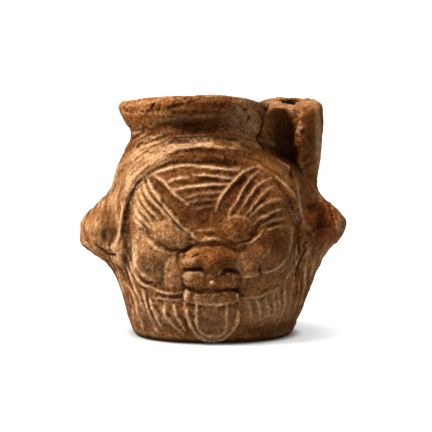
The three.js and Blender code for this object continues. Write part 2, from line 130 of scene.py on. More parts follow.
# Place in the front view, where all of the carving is drawn.
def at(x, z):
    return np.array([x, z], float)


# Stroke: quadratic curve in eight steps from one place to another through a middle one, by the x and z of each.
def arc(x0, z0, x1, z1, x2, z2):
    start, middle, end = at(x0, z0), at(x1, z1), at(x2, z2)
    control = 2 * middle - (start + end) / 2
    t = np.linspace(0, 1, 9)[:, None]
    return (1 - t) ** 2 * start + 2 * t * (1 - t) * control + t * t * end


# Strokes joined end to end.
def chain(*strokes):
    return np.concatenate([strokes[0]] + [s[1:] for s in strokes[1:]])


# Superellipse arch: x = w sin^(2/n), z = h cos^(2/n), with its own n on each side.
def arch(centre, halfWidth, rise, leftSquareness, rightSquareness, start, end):
    t = np.radians(np.linspace(start, end, 45))
    power = 2 / np.where(t < 0, leftSquareness, rightSquareness)
    x = np.sign(t) * halfWidth * np.abs(np.sin(t)) ** power
    z = np.sign(np.cos(t)) * rise * np.abs(np.cos(t)) ** power
    return np.stack([centre[0] + x, centre[1] + z], axis=1)


# Distance of every place to a stroke, and how far along it the nearest point lies.
def nearest(place, stroke):
    best = np.full(len(place), 1e9)
    along = np.zeros(len(place))
    count = len(stroke) - 1
    for i in range(count):
        d = stroke[i + 1] - stroke[i]
        t = np.clip(((place - stroke[i]) @ d) / (d @ d), 0, 1)
        gap = np.hypot(place[:, 0] - stroke[i][0] - t * d[0], place[:, 1] - stroke[i][1] - t * d[1])
        closer = gap < best
        best = np.where(closer, gap, best)
        along = np.where(closer, (i + t) / count, along)
    return best, along


# Crest with hollow sides: height * (1 - s)^1.7 (1 + 0.9 s), sinking and thinning to both ends.
def crest(place, stroke, halfWidth, rise, thinning):
    gap, along = nearest(place, stroke)
    full = 1 - thinning * (1 - smooth(0, 0.35, np.minimum(along, 1 - along)))
    s = np.clip(gap / (halfWidth * (0.5 + 0.5 * full)), 0, 1)
    return rise * full * (1 - s) ** 1.7 * (1 + 0.9 * s)


# Bell across the stroke: height * exp(-(distance / width)^2).
def swell(place, stroke, halfWidth, rise):
    return rise * np.exp(-(nearest(place, stroke)[0] / halfWidth) ** 2)


# Dome: height * (1 - |x/a|^n - |z/b|^n)^power, turned by an angle in degrees; n = 2 is an oval, more is a block.
def dome(place, centre, radiusX, radiusZ, rise, turn=0, power=0.6, squareness=2):
    offset = place - centre
    c, s = math.cos(math.radians(turn)), math.sin(math.radians(turn))
    share = np.abs((offset[:, 0] * c + offset[:, 1] * s) / radiusX) ** squareness \
        + np.abs((offset[:, 1] * c - offset[:, 0] * s) / radiusZ) ** squareness
    return rise * np.clip(1 - share, 0, 1) ** power


carve = dict(
    bandRise=2, bandWidth=2.7, channelDepth=1.5, channelWidth=1.5, faceStep=2.2, ledgeRise=1.5,
    foldRise=0.95, foldWidth=1.5, browRise=1.15, browWidth=1.5, lockRise=1.05, lockWidth=1.45, lidRise=0.7,
    rimRise=0.95, rimWidth=1.3, beardRise=1.05, beardWidth=1.65, tongueRim=1.1, eyeRise=2.9, cheekRise=3.5,
    muzzleRise=2.5, noseRise=5.2, sinking=1.1, lipRise=2.7, tongueRise=2.1, mouthDepth=0.45,
)
bandCentre, bandHalf, bandUp, bandSquareness = at(0, 34), 33.2, 31.8, (2.7, 1.95)
band = arch(bandCentre, bandHalf, bandUp, *bandSquareness, -97, 95)
channel = arch(at(0, 36), 29.5, 26.9, 3, 2.3, -118, 108)
# sideways place, level of the ledge's edge, share of its full rise
ledgeLine = np.array([
    [-27, 57, 0], [-22, 62, 0.7], [-16, 65.4, 1], [-12, 67.1, 1.1], [-6, 67.9, 1],
    [0, 67.8, 0.9], [5, 67, 0.5], [11, 66.6, 0.4], [17, 64.6, 0.3], [22, 60, 0],
])


# Ledge above the band: rises slowly from the shoulder and breaks off along its own line.
def ledge(p):
    above = p[:, 1] - np.interp(p[:, 0], ledgeLine[:, 0], ledgeLine[:, 1])
    share = np.interp(p[:, 0], ledgeLine[:, 0], ledgeLine[:, 2])
    share = share * mix(0.45, 1, smooth(-19, -9, p[:, 0]))
    return carve["ledgeRise"] * share * smooth(4.4, 0.2, above) * smooth(-0.9, 0.4, above)


# Every raised line of the face: stroke, half width, rise, thinning at the ends, share of pale slip left on it.
def faceLines():
    c = carve
    lines = []

    def draw(rows, width, rise, thinning):
        for x0, z0, x1, z1, x2, z2, strength, slip in rows:
            side = mix(1, 0.82, smooth(4, 7, x1))
            lines.append((arc(x0, z0, x1, z1, x2, z2), width, rise * strength * side, thinning, slip))

    # folds of the forehead, from the top one down
    draw((
        (-22.6, 57.6, -12.6, 61.3, -5.6, 62, 1.2, 1), (-6.4, 61.9, 1, 61, 9, 60.4, 1.1, 0.95),
        (-15.5, 56.1, -12.2, 57.2, -8.2, 58, 1, 0.9), (-6.4, 59, 0.5, 58.3, 7.4, 57.9, 1.1, 0.9),
        (-13.4, 54.1, -4, 55.2, 5.6, 55.9, 1.1, 0.95), (-10.4, 50.8, -3.6, 52.6, 4, 53.2, 0.6, 0.3),
        (-9.2, 49.2, -3.4, 50.4, 2.8, 50.8, 0.4, 0.2), (-7.4, 47.2, -3, 48, 1.4, 48.2, 0.3, 0.1),
    ), c["foldWidth"], c["foldRise"], 0.85)
    # edges of the two slanting brows
    draw((
        (-22.9, 57.4, -19.6, 52.4, -16.6, 48.6, 1.25, 1), (-17.2, 49.4, -13.6, 44.8, -7, 38.8, 1, 0.55),
        (-20.6, 58.3, -15.6, 55.4, -8.4, 48.6, 0.9, 0.7), (15.8, 61.4, 6.8, 56.8, 0.8, 46.6, 1.25, 1),
        (16.6, 60.6, 9.8, 53.4, 5, 44.8, 1.1, 0.7),
    ), c["browWidth"], c["browRise"], 0.7)
    # locks of the temples
    draw((
        (-24.2, 55.5, -20.8, 50.2, -14.8, 43.8, 1.1, 0.95), (-25.3, 52.8, -22.9, 48.3, -18.8, 43.8, 1.1, 0.95),
        (-26.5, 50.2, -24.1, 46.2, -20.2, 41.9, 1.1, 0.95), (-27.2, 47.3, -25.1, 43.8, -21.8, 41.2, 1, 0.9),
        (-27.4, 43.4, -25.6, 41.6, -23, 40, 0.9, 0.8), (20.4, 56.9, 14.2, 54, 7.8, 44.9, 1.1, 0.7),
        (21.6, 54.6, 17.2, 52.2, 11, 45.2, 0.9, 0.5), (23.4, 50.2, 18.2, 49.3, 12.8, 44.9, 1, 0.6),
        (24.4, 47.2, 19.6, 46, 13.8, 42.2, 1, 0.6), (25.6, 44.2, 20.6, 43.4, 16.4, 41.8, 0.9, 0.45),
        (26.4, 41, 22.4, 41.1, 18.6, 40.2, 0.8, 0.35),
    ), c["lockWidth"], c["lockRise"], 0.85)
    # lids and the lines between the eyes
    draw((
        (-16.4, 44, -12.8, 42.2, -8.2, 38.2, 0.9, 0.2), (3.8, 43.4, 9, 45.2, 13.6, 42.4, 0.75, 0.4),
        (5, 37.6, 8.6, 36.9, 13.2, 38.4, 0.4, 0.2), (8.6, 35.1, 13, 36.6, 17.2, 40.4, 1, 0.6),
        (-6, 40.6, -2.4, 40.2, 1.6, 40.6, 0.5, 0.2), (-4.6, 36.8, -1.2, 37.5, 2.4, 37.3, 0.7, 0.45),
        (-7.6, 39.9, -6.6, 38.4, -5.6, 36.9, 0.8, 0.5), (-22.4, 37.2, -20.4, 35, -16.6, 33.1, 0.8, 0.6),
        (-21, 39.8, -17.6, 42.4, -13, 42, 0.5, 0.35),
    ), 1.2, c["lidRise"], 0.85)
    # folds under the cheeks
    draw((
        (-28.4, 28, -25.6, 22.4, -19.2, 19.3, 1.3, 1), (-20.4, 19.7, -16, 18.5, -10.6, 18.8, 1, 0.7),
        (-27.2, 33, -26.6, 28.4, -24.6, 25.4, 1, 0.9), (-25, 25.8, -22.4, 23.4, -19.6, 22.2, 0.9, 0.6),
        (-20.6, 16.4, -15.6, 15.8, -10.6, 16.2, 0.7, 0.45), (-15, 30.6, -15.4, 27.6, -15.9, 24.8, 0.45, 0.45),
        (17, 25.8, 20.8, 26.4, 25.2, 30.2, 1.3, 0.8), (9.6, 24.4, 13.4, 25, 17, 25.6, 0.8, 0.3),
        (9.4, 17.2, 17.6, 17.6, 24.4, 20.8, 0.9, 0.45), (29.6, 29, 27.2, 25.4, 24.8, 22, 1, 0.55),
        (26.6, 41.6, 27, 37, 25.8, 30.8, 0.9, 0.6),
    ), c["rimWidth"], c["rimRise"], 0.85)
    # beard
    draw((
        (-29.8, 25.8, -26.9, 19.6, -24.2, 11.8, 1.1, 0.85), (-29.4, 19.4, -27.2, 14.4, -25.2, 6.6, 0.9, 0.6),
        (-24.1, 19.2, -23, 13.8, -20.7, 6.4, 1.1, 0.95), (-21.4, 16.2, -20.3, 11.6, -17.6, 5.2, 1.1, 0.95),
        (-16, 14.8, -15.9, 9.6, -9.8, 3.4, 1.1, 0.95), (-13.6, 14.2, -12.5, 10.6, -9.7, 4.8, 1.1, 0.95),
        (-28.2, 11, -27.6, 7.4, -27.4, 3.6, 0.8, 0.5), (-24.8, 8.4, -24.4, 5.4, -24.2, 2.6, 0.7, 0.5),
        (-20.6, 6.6, -19.8, 4.6, -18, 2.8, 0.8, 0.5), (11.2, 16.2, 12.6, 12.8, 12.6, 8, 1.1, 0.6),
        (14.6, 16.4, 15.7, 13.4, 16.2, 8.4, 1.1, 0.65), (18.2, 16.8, 18.8, 13.6, 19.8, 9.6, 1, 0.5),
        (20.9, 18.4, 21, 13.4, 21.6, 8, 0.9, 0.4), (22.5, 18.8, 22.8, 14.8, 22.6, 10.4, 0.9, 0.45),
        (24.8, 21.8, 24.9, 15.6, 23.6, 9.2, 1.1, 0.6), (27.8, 24.6, 27.4, 17.6, 26, 10.4, 0.8, 0.3),
    ), c["beardWidth"], c["beardRise"], 0.85)
    # inner rims of the ears, where the band runs out
    draw((
        (-32, 48, -32, 39.4, -35.2, 32.6, 1.3, 1), (29.2, 53.6, 31.2, 43.6, 35.2, 36.8, 1.2, 0.6),
    ), 1.3, 0.9, 0.6)
    # the tongue's double edge and the lower lip's
    outer = chain(arc(-9.4, 17.6, -8.6, 9.4, -4.6, 2.9), arc(-4.6, 2.9, -0.1, 1.3, 4.4, 2.8),
                  arc(4.4, 2.8, 8.5, 9, 8.5, 18.4))
    inner = chain(arc(-5.5, 14.8, -5.4, 8.6, -3.8, 4.6), arc(-3.8, 4.6, 0.3, 3.2, 4, 4.7),
                  arc(4, 4.7, 4.9, 9, 4.9, 14.8))
    lines.append((outer, 1.5, c["tongueRim"], 0, 0.6))
    lines.append((inner, 1.3, 0.8 * c["tongueRim"], 0, 0.45))
    lines.append((arc(-7.6, 15.6, 0, 15, 8.2, 15.9), 0.9, 0.5, 0.2, 0.6))
    return lines


# Rounded forms of the face: centre, radii, rise, turn, power, squareness.
def faceDomes():
    c = carve
    return [
        (-15, 38.3, 7.8, 4.9, c["eyeRise"], -24, 1.1, 2),
        (9, 40.7, 7.6, 5.6, 0.62 * c["eyeRise"], 3, 1.7, 2),
        (-20.8, 29.6, 7.6, 8, c["cheekRise"], -8, 1, 2.2),
        (19.2, 33, 8.8, 9.6, c["cheekRise"], 8, 1.2, 2),
        (-12.7, 25.6, 5.4, 9, c["muzzleRise"], 0, 1, 2),
        (13.4, 25.6, 7.6, 8.6, c["muzzleRise"], 0, 1, 2),
        (-6.2, 29.9, 5.4, 3.2, 0.68 * c["noseRise"], 22, 0.85, 2.4),
        (5.6, 30, 4.8, 3.2, 0.56 * c["noseRise"], -16, 0.85, 2.4),
        (0, 29.3, 4.8, 4.5, 0.92 * c["noseRise"], 0, 0.75, 2.3),
        (-0.6, 31, 10, 4.2, 0.66 * c["noseRise"], 0, 0.9, 2.3),
        (-0.5, 23.4, 9.9, 3.6, c["lipRise"], 0, 0.3, 3.8),
        (-6.4, 23.7, 3.9, 2.9, 1.05 * c["lipRise"], 0, 0.4, 3.6),
        (5.3, 23.5, 3.9, 2.7, c["lipRise"], 0, 0.4, 3.6),
        (-0.2, 22.5, 1.2, 1.1, 1.4 * c["lipRise"], 0, 0.6, 2),
        (-0.6, 17.6, 9.7, 2.8, 0.88 * c["lipRise"], 0, 0.4, 3),
        (-8.6, 17.9, 1.7, 2.7, 0.9 * c["lipRise"], 0, 0.6, 2.6),
        (-0.1, 10.5, 9.4, 10.4, c["tongueRise"], 0, 0.35, 2),
    ]


lines = faceLines()


# Hand-drawn unevenness: every place is shifted by two sizes of lumps before the forms are read.
def wander(p):
    flat = flatPoints(p[:, 0], p[:, 1])
    sideways = layered(flat, ((0.28, 2.6, 11), (0.3, 6.5, 12)))
    upwards = layered(flat, ((0.28, 2.6, 13), (0.3, 6.5, 14)))
    return p + np.stack([sideways, upwards], axis=1)


# Domes joined by the fourth root of the sum of their fourth powers, the highest crest on top, hollows taken off.
def raisedForms(p, strength):
    ridge = np.zeros(len(p))
    for stroke, halfWidth, rise, thinning, pale in lines:
        near = closeTo(p, stroke, halfWidth)
        ridge[near] = np.maximum(ridge[near], crest(p[near], stroke, halfWidth, rise, thinning))
    form = np.zeros(len(p))
    for x, z, *shape in faceDomes():
        form += dome(p, at(x, z), *shape) ** 4
    form = form ** 0.25
    mouth = crest(p, arc(-9.4, 20.6, -1.5, 18.9, 8.6, 20.9), 1, carve["mouthDepth"], 0.7)
    nostrils = dome(p, at(-6.4, 26.9), 2.4, 0.6, 0.4, 2, 0.6) + dome(p, at(6, 26.8), 2, 0.6, 0.4, -4, 0.6)
    crease = crest(p, arc(-11.6, 33, -12, 30.2, -10.9, 27.4), 1.4, 0.75, 0.8) \
        + crest(p, arc(-13.8, 42.7, -11.6, 41.8, -9.2, 40.2), 0.9, 0.9, 0.8) \
        + crest(p, arc(-13.4, 31.6, -8.8, 33.9, -4.6, 35.6), 1.2, 0.9, 0.8)
    browHollow = swell(p, arc(-20.4, 56.8, -14.2, 51.4, -8.4, 43.6), 1.6, 0.35) \
        + swell(p, arc(13, 58.8, 7.4, 52.2, 2.6, 44.4), 1.6, 0.25)
    sunken = dome(p, at(-2.6, 44), 9, 7, carve["sinking"], -8, 1.4) \
        + dome(p, at(-21.6, 39.6), 2.6, 1.6, 0.6, -20, 1.2)
    return form + ridge * strength - mouth - nostrils - crease - browHollow - sunken


# Places inside the stroke's own box, widened by the reach.
def closeTo(p, stroke, reach):
    low, high = stroke.min(axis=0) - reach, stroke.max(axis=0) + reach
    return np.nonzero((p >= low).all(axis=1) & (p <= high).all(axis=1))[0]


# Pale line along each crest: share * exp(-(distance / width)^2), the strongest of all.
def paleLines(p, width):
    pale = np.zeros(len(p))
    for stroke, halfWidth, rise, thinning, share in lines:
        near = closeTo(p, stroke, 3 * width)
        gap, along = nearest(p[near], stroke)
        line = share * np.exp(-(gap / width) ** 2) * mix(0.5, 1, smooth(0, 0.25, np.minimum(along, 1 - along)))
        line = line * mix(1, 0.7, smooth(0, 8, p[near, 0]))
        pale[near] = np.maximum(pale[near], line)
    return pale


# Face step + band swelling - channel + ledge + raised forms, all but the last softer towards the top.
def carvingHeight(place):
    p = wander(place)
    squareness = np.where(p[:, 0] < 0, 3, 2.3)
    edge = (np.abs(p[:, 0] / 28) ** squareness + (np.clip(p[:, 1] - 36, 0, None) / 25.9) ** squareness) \
        ** (1 / squareness)
    top = smooth(50, 62, p[:, 1])
    ground = carve["faceStep"] * smooth(1.03, 0.91, edge) * smooth(2, 10, p[:, 1]) * mix(1, 0.5, top)
    ground = ground + swell(p, band, carve["bandWidth"], carve["bandRise"]) * mix(1, 0.8, top)
    ground = ground - swell(p, channel, carve["channelWidth"], carve["channelDepth"]) * mix(1, 0.35, top)
    ground = ground + ledge(p)
    strength = 0.95 + 0.45 * lumps(flatPoints(place[:, 0], place[:, 1]), 3.4, 21)
    return ground + raisedForms(p, strength)


# Ear: peak * rise over z * fall over z * (1 - ((y - middle)/reach)^2)^1.5, pushed sideways, fuller cheeks below.
def earPush(x, y, z):
    peak = ear["span"] / 2 - outline[2, 1]
    lift = z / head["height"]
    left = x < 0
    over, under = (np.where(left, *(smooth(*ends, lift) for ends in ear[side])) for side in ("over", "under"))
    near = np.clip(1 - ((y - ear["middle"]) / ear["reach"]) ** 2, 0, 1) ** 1.5
    fuller = np.where(left, *(np.interp(z, ear["level"], ear[side]) for side in ("fullerLeft", "fullerRight")))
    return np.where(left, -1, 1) * (peak * over * under * near + fuller * near)


# Column angles of the outer skin: even across the face, then over the ears, then round the back.
def columnAngles():
    faceEnd, earEnd = math.radians(head["faceEnd"]), math.radians(head["earEnd"])
    face = np.arcsin(np.linspace(-1, 1, head["faceColumns"]) * math.sin(faceEnd))
    side = np.linspace(faceEnd, earEnd, head["earColumns"])[1:]
    back = np.linspace(earEnd, 2 * math.pi - earEnd, head["columnsBehind"])[1:-1]
    return np.concatenate([face, side, back, 2 * math.pi - side[::-1]])


# Lip front: a slanting groove, a smooth strip with a thin ridge under it, and the hollow below the lip.
def lipTurning(x, z):
    groove = np.interp(x, [-22, -17, -13, -8, -3, 6, 14], [80, 80.6, 81.8, 82.8, 84, 84.2, 83.5])
    middle = smooth(-17, -12, x) * smooth(9, 4, x)
    cut = -0.5 * np.exp(-((z - groove) / 0.6) ** 2) * smooth(-24, -19, x) * smooth(14, 6, x)
    strip = (0.16 * np.exp(-((z - 80.6) / 0.4) ** 2) - 0.3 * np.exp(-((z - 82.1) / 0.9) ** 2)) * middle
    fold = 0.25 * np.exp(-((z - 78.6) / 0.7) ** 2) * smooth(-21, -17, x) * smooth(-7, -12, x)
    hollow = -1.15 * np.exp(-((z - 75) / 2.3) ** 2) * smooth(-20, -12, x) * smooth(11, 2, x)
    return cut + strip + fold + hollow


# Broken upper edge of the lip, left front: set in above its own line, deeper upwards, with ragged lumps.
def brokenEdge(x, y, z):
    line = np.interp(x, [-34, -28, -24, -19, -15, -9, -3, 2], [81.4, 79.6, 79.9, 80.3, 81.9, 83.2, 84.6, 86.5])
    points = np.stack([x.ravel(), y.ravel(), z.ravel()], axis=1)
    ragged = layered(points, ((0.5, 1.7, 51), (0.35, 0.8, 52))).reshape(x.shape)
    above = z - line
    return np.clip(0.3 + 0.26 * above + ragged, -0.1, 3) * smooth(-0.2, 0.4, above) * smooth(3, -5, y)


# Rows run from the foot's edge up the outside and over the lip, to the mouth's edge.
def vesselGrid():
    angle = columnAngles()
    quarter = math.pi / 2
    footRows, faceRows, neckRows, lipRows, rollRows = 5, 176, 40, 10, 5
    turn = np.linspace(0, quarter, footRows, endpoint=False)
    footZ = head["footRounding"] * (1 - np.cos(turn))
    footInset = head["footInset"] * (1 - np.sin(turn))
    face = np.linspace(head["footRounding"], head["neckStart"], faceRows, endpoint=False)
    neck = np.linspace(head["neckStart"], rimZ, neckRows, endpoint=False)
    turn = np.linspace(0, quarter, lipRows)
    lipZ = rimZ + head["lipHeight"] * np.sin(turn)
    lipInset = head["lipInset"] * (1 - np.cos(turn))
    turn = np.linspace(0, quarter, rollRows + 1)[1:]
    rollZ = head["height"] - head["lipRoll"] * (1 - np.cos(turn))
    rollInset = head["lipInset"] + (head["lipThickness"] - head["lipInset"]) * np.sin(turn)
    z = np.concatenate([footZ, face, neck, lipZ, rollZ])
    inset = np.concatenate([footInset, np.zeros(faceRows + neckRows), lipInset, rollInset])
    theta, level = np.meshgrid(angle, z)
    inset = inset[:, None]
    halfWidth, halfDepth, shift, middle = sectionAt(level)
    x, y = around(theta, halfWidth - inset, halfDepth - inset, shift, middle)
    inset = inset + brokenEdge(x, y, level)
    x, y = around(theta, halfWidth - inset, halfDepth - inset, shift, middle)
    x = x + earPush(x, y, level)
    forward = (middle - y) / halfDepth
    place = np.stack([x.ravel(), level.ravel()], axis=1)
    shown = smooth(0.02, 0.26, forward) * smooth(0.86, 0.8, level / head["height"]) * smooth(0, 1, level)
    front = (shown > 0).ravel()
    height = np.zeros(len(place))
    height[front] = carvingHeight(place[front])
    height = height.reshape(level.shape) * shown
    ragged = wander(wander(place))
    chips = lumps(np.stack([x, y, level], axis=2).reshape(-1, 3), 2.2, 61)
    # bowls of the ears, the right one chipped
    bowl = dome(ragged, at(-35.4, 36.4), 3.8, 4.2, 2.2, 0, 1.3) \
        - dome(ragged, at(-36.6, 36.6), 1, 2.8, 0.5, 0, 1) \
        + dome(ragged, at(37.7, 42), 6.6, 6.6, 2.7, 0, 1) \
        + dome(ragged, at(37.9, 42), 5, 5, 0.9, 0, 0.5) * chips
    bowl = bowl.reshape(level.shape) * smooth(-0.1, 0.05, forward)
    lip = lipTurning(x, level) * smooth(0.2, 0.6, forward) \
        * smooth(66, 71, level) * smooth(head["height"], head["height"] - 1, level)
    y = y - height + bowl - lip
    # the rim hangs at the sides and behind, and is worn unevenly at the front
    dip = head["rimDip"] * np.sin(theta) ** 2 * smooth(0.84, 0.959, level / head["height"])
    worn = np.interp(x, [-34, -30, -24, -17, -7, 4, 11, 16, 20], [-0.2, -0.5, 0, 0.45, 0.7, 0.7, 0.35, -1, -1.2])
    dip = dip - worn * smooth(4, -8, y) * smooth(79.5, 84, level)
    dip = dip + head["backDip"] * smooth(-8, 16, y) * smooth(76, 84, level)
    return np.stack([x, y, level - dip], axis=2)


# Cavity: rounded floor, wall, and a straight mouth, standing out above the rim.
def cavityGrid():
    quarter = math.pi / 2
    turn = np.linspace(0.08, quarter, 9)
    floorZ = head["floor"] + head["floorRounding"] * (1 - np.cos(turn))
    floorInset = head["floorRounding"] * (1 - np.sin(turn))
    wallZ = np.linspace(head["floor"] + head["floorRounding"], head["cavityTop"], 44)[1:]
    z = np.concatenate([floorZ, wallZ])
    inset = np.concatenate([floorInset, np.zeros(len(wallZ))])
    theta, level = np.meshgrid(np.linspace(0, 2 * math.pi, 96, endpoint=False), z)
    inset = inset[:, None]
    halfWidth, halfDepth, shift, middle = innerSection(level)
    x, y = around(theta, halfWidth - inset, halfDepth - inset, shift, middle)
    return np.stack([x, y, level], axis=2)


# Cavity section: the outer section less the wall, drawn to the mouth's radius at the neck.
def innerSection(z):
    slack = 0.12
    a, b, x, y = sectionAt(z)
    a2, b2, x2, _ = sectionAt(z + head["wall"] / 2)
    opening = smooth(0.84, 0.959, z / head["height"])
    mouth = outline[-1, 1] - head["lipThickness"]
    halfWidth = mix(np.minimum(a, a2) - head["wall"], mouth, opening) + slack
    halfDepth = mix(np.minimum(b, b2) - head["wall"], mouth, opening) + slack
    shift = mix(x, x2, smooth(0.74, 0.84, z / head["height"]))
    return halfWidth, halfDepth, shift, y


# Side spout with its bore and the hollow in front of it; hollowEdge is a height and the x of the right side there.
spout = dict(
    left=15.6, right=39.2, back=11.8, depth=19, top=84, slope=0.2, taper=3, rounding=2.6, root=42.5,
    bore=5.4, boreBehind=1.9, boreWidening=0.3, boreBroken=0.6, hollowDepth=7,
    hollowEdge=np.array([(58, 31), (61, 30.4), (67, 29.2), (73, 28.8), (77, 27.4), (79, 26.4), (82, 25)]),
)
spoutX = (spout["left"] + spout["right"]) / 2
spoutY = spout["back"] - spout["depth"] / 2


# Rounded post: superellipse sections that lean in downwards, brought forward to the neck at the left,
# under a top falling towards the front.
def spoutGrid():
    columns, sideRows, roundRows, topRows = 132, 62, 8, 9
    angle = np.linspace(0, 2 * math.pi, columns, endpoint=False)
    turn = np.linspace(0, math.pi / 2, roundRows)
    t = np.concatenate([np.linspace(0, 1, sideRows, endpoint=False), np.ones(roundRows + topRows)])
    inset = np.concatenate([np.zeros(sideRows), spout["rounding"] * (1 - np.cos(turn)), np.zeros(topRows)])
    drop = np.concatenate([np.full(sideRows, spout["rounding"]), spout["rounding"] * (1 - np.sin(turn)),
                           np.zeros(topRows)])
    shrink = np.concatenate([np.ones(sideRows + roundRows), np.linspace(1, 0.02, topRows + 1)[1:]])
    inset[-topRows:] = spout["rounding"]
    theta, share = np.meshgrid(angle, t)
    inset, drop, shrink = inset[:, None], drop[:, None], shrink[:, None]
    right = spout["right"] - spout["taper"] * (1 - share) ** 1.3
    x, y = around(theta, (right - spout["left"]) / 2 - inset, spout["depth"] / 2 - inset,
                  (right + spout["left"]) / 2, spoutY)
    web = np.interp(x, [15.6, 18, 20.5, 23.5, 26, 30], [-12, -11.4, -9.4, -7.6, -7.2, -7.2]) + inset
    y = np.where((y < spoutY) & (x < 29), np.minimum(y, web), y)
    x = spoutX + (x - spoutX) * shrink
    y = spoutY + (y - spoutY) * shrink
    top = spout["top"] - spout["slope"] * (spout["back"] - y) - drop
    z = mix(spout["root"], top, share)
    y = y + frontHollow(x, z) * smooth(3, -3, y)
    return np.stack([x, y, z], axis=2)


# Right side of the hollow at a height.
def hollowSide(z):
    return np.interp(z, spout["hollowEdge"][:, 0], spout["hollowEdge"][:, 1])


# Hollow beside the neck: deepens to the right, ends at a superellipse (|u|^n + |v|^n)^(1/n) < 1 whose corner is at
# the upper right, shallower at the top, runs out below.
def frontHollow(x, z):
    across, edge = smooth(17.5, 26, x), hollowSide(z)
    flat = flatPoints(x, z)
    x = x + 0.45 * lumps(flat, 2.6, 77).reshape(x.shape) + 0.3 * lumps(flat, 1.3, 78).reshape(x.shape)
    z = z + 0.6 * lumps(flat, 2.4, 79).reshape(x.shape)
    n = 3.2
    corner = (np.clip((x - edge + 4.1) / 4.6, 0, None) ** n + np.clip((z - 74) / 6.2, 0, None) ** n) ** (1 / n)
    depth = spout["hollowDepth"] * mix(1, 0.7, smooth(70, 80, z))
    return depth * across * smooth(1.1, 0.72, corner) * smooth(52, 63, z)


# New object in the scene.
def added(name, data):
    piece = bpy.data.objects.new(name, data)
    bpy.context.scene.collection.objects.link(piece)
    return piece


# Rows of a ring grid joined to quads, with a fan to a middle point at both ends.
def closedMesh(name, grid):
    rows, columns = grid.shape[:2]
    points = np.concatenate([grid.reshape(-1, 3), grid[:1].mean(axis=1), grid[-1:].mean(axis=1)])
    r, c = np.meshgrid(np.arange(rows - 1), np.arange(columns), indexing="ij")
    a = (r * columns + c).ravel()
    b = (r * columns + (c + 1) % columns).ravel()
    quads = np.stack([a, b, b + columns, a + columns], axis=1)
    c = np.arange(columns)
    n = (c + 1) % columns
    last = (rows - 1) * columns
    low = np.stack([np.full(columns, rows * columns), n, c], axis=1)
    high = np.stack([np.full(columns, rows * columns + 1), c + last, n + last], axis=1)
    mesh = bpy.data.meshes.new(name)
    mesh.from_pydata((points * mm).tolist(), [], quads.tolist() + low.tolist() + high.tolist())
    mesh.update()
    return added(name, mesh)


# Boolean of two pieces; the result stays in the first one.
def combine(piece, other, operation):
    change = piece.modifiers.new("join", "BOOLEAN")
    change.operation = operation
    change.solver = "MANIFOLD"
    change.object = other
    bpy.context.view_layer.update()
    result = bpy.data.meshes.new_from_object(piece.evaluated_get(bpy.context.evaluated_depsgraph_get()))
    piece.modifiers.clear()
    old = piece.data
    piece.data = result
    bpy.data.meshes.remove(old)
    bpy.data.objects.remove(other, do_unlink=True)


# Bore: radius * (1 + widening + waves round the edge) near the top, where it is also broken out to the front.
def boreGrid():
    theta, level = np.meshgrid(np.linspace(0, 2 * math.pi, 40, endpoint=False), np.linspace(50, 90, 32))
    waves = spout["boreWidening"] + 0.16 * np.sin(3 * theta + 0.8) + 0.1 * np.sin(5 * theta)
    widening = 1 + waves * smooth(76, 80, level)
    broken = 1 + spout["boreBroken"] * smooth(0, 0.6, np.cos(theta)) * smooth(79.5, 82.5, level)
    x = spoutX + spout["bore"] / 2 * np.sin(theta) * widening
    y = spoutY + spout["boreBehind"] - spout["bore"] / 2 * np.cos(theta) * widening * broken
    return np.stack([x, y, level], axis=2)


print("vessel: skin")
vessel = closedMesh("clayVessel", vesselGrid())
print("vessel: spout")
combine(vessel, closedMesh("spoutPost", spoutGrid()), "UNION")
combine(vessel, closedMesh("cavityCut", cavityGrid()), "DIFFERENCE")
combine(vessel, closedMesh("boreCut", boreGrid()), "DIFFERENCE")
print("vessel:", sum(len(p.vertices) - 2 for p in vessel.data.polygons), "triangles")

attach(vessel, "root")
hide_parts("vessel")
vessel.data.polygons.foreach_set("use_smooth", np.ones(len(vessel.data.polygons), dtype=bool))


# Unevenness of the fired skin: heights in millimetres, with the sizes and seeds of the lumps.
skin = dict(
    lumps=((0.30, 8, 31), (0.18, 3, 32), (0.15, 1.3, 33), (0.13, 0.7, 34)), chips=((0.4, 2, 35), (0.35, 1, 36)),
    streaks=0.17, streaksBehind=0.25, cracks=0.6, jointRounds=70, fineRounds=10, broadRounds=60,
)


# Mean of each value with its neighbours along the mesh edges, repeated.
def spread(values, edges, rounds):
    count = len(values)
    ends = np.concatenate([edges[:, 0], edges[:, 1]])
    other = np.concatenate([edges[:, 1], edges[:, 0]])
    degree = np.maximum(np.bincount(ends, minlength=count), 1)
    for _ in range(rounds):
        total = np.stack([np.bincount(ends, weights=values[other, k], minlength=count)
                          for k in range(values.shape[1])], axis=1)
        values = (values + total / degree[:, None]) / 2
    return values


# Points in millimetres, normals and edges.
def readMesh(mesh):
    count = len(mesh.vertices)
    points = np.empty(count * 3)
    mesh.vertices.foreach_get("co", points)
    normals = np.empty(count * 3)
    mesh.vertices.foreach_get("normal", normals)
    edges = np.empty(len(mesh.edges) * 2, int)
    mesh.edges.foreach_get("vertices", edges)
    return points.reshape(-1, 3) / mm, normals.reshape(-1, 3), edges.reshape(-1, 2)


# One value per point, stored under the name that the material reads.
def keep(mesh, name, values):
    layer = mesh.attributes.new(name, "FLOAT", "POINT")
    layer.data.foreach_set("value", np.ascontiguousarray(values, dtype=np.float32))


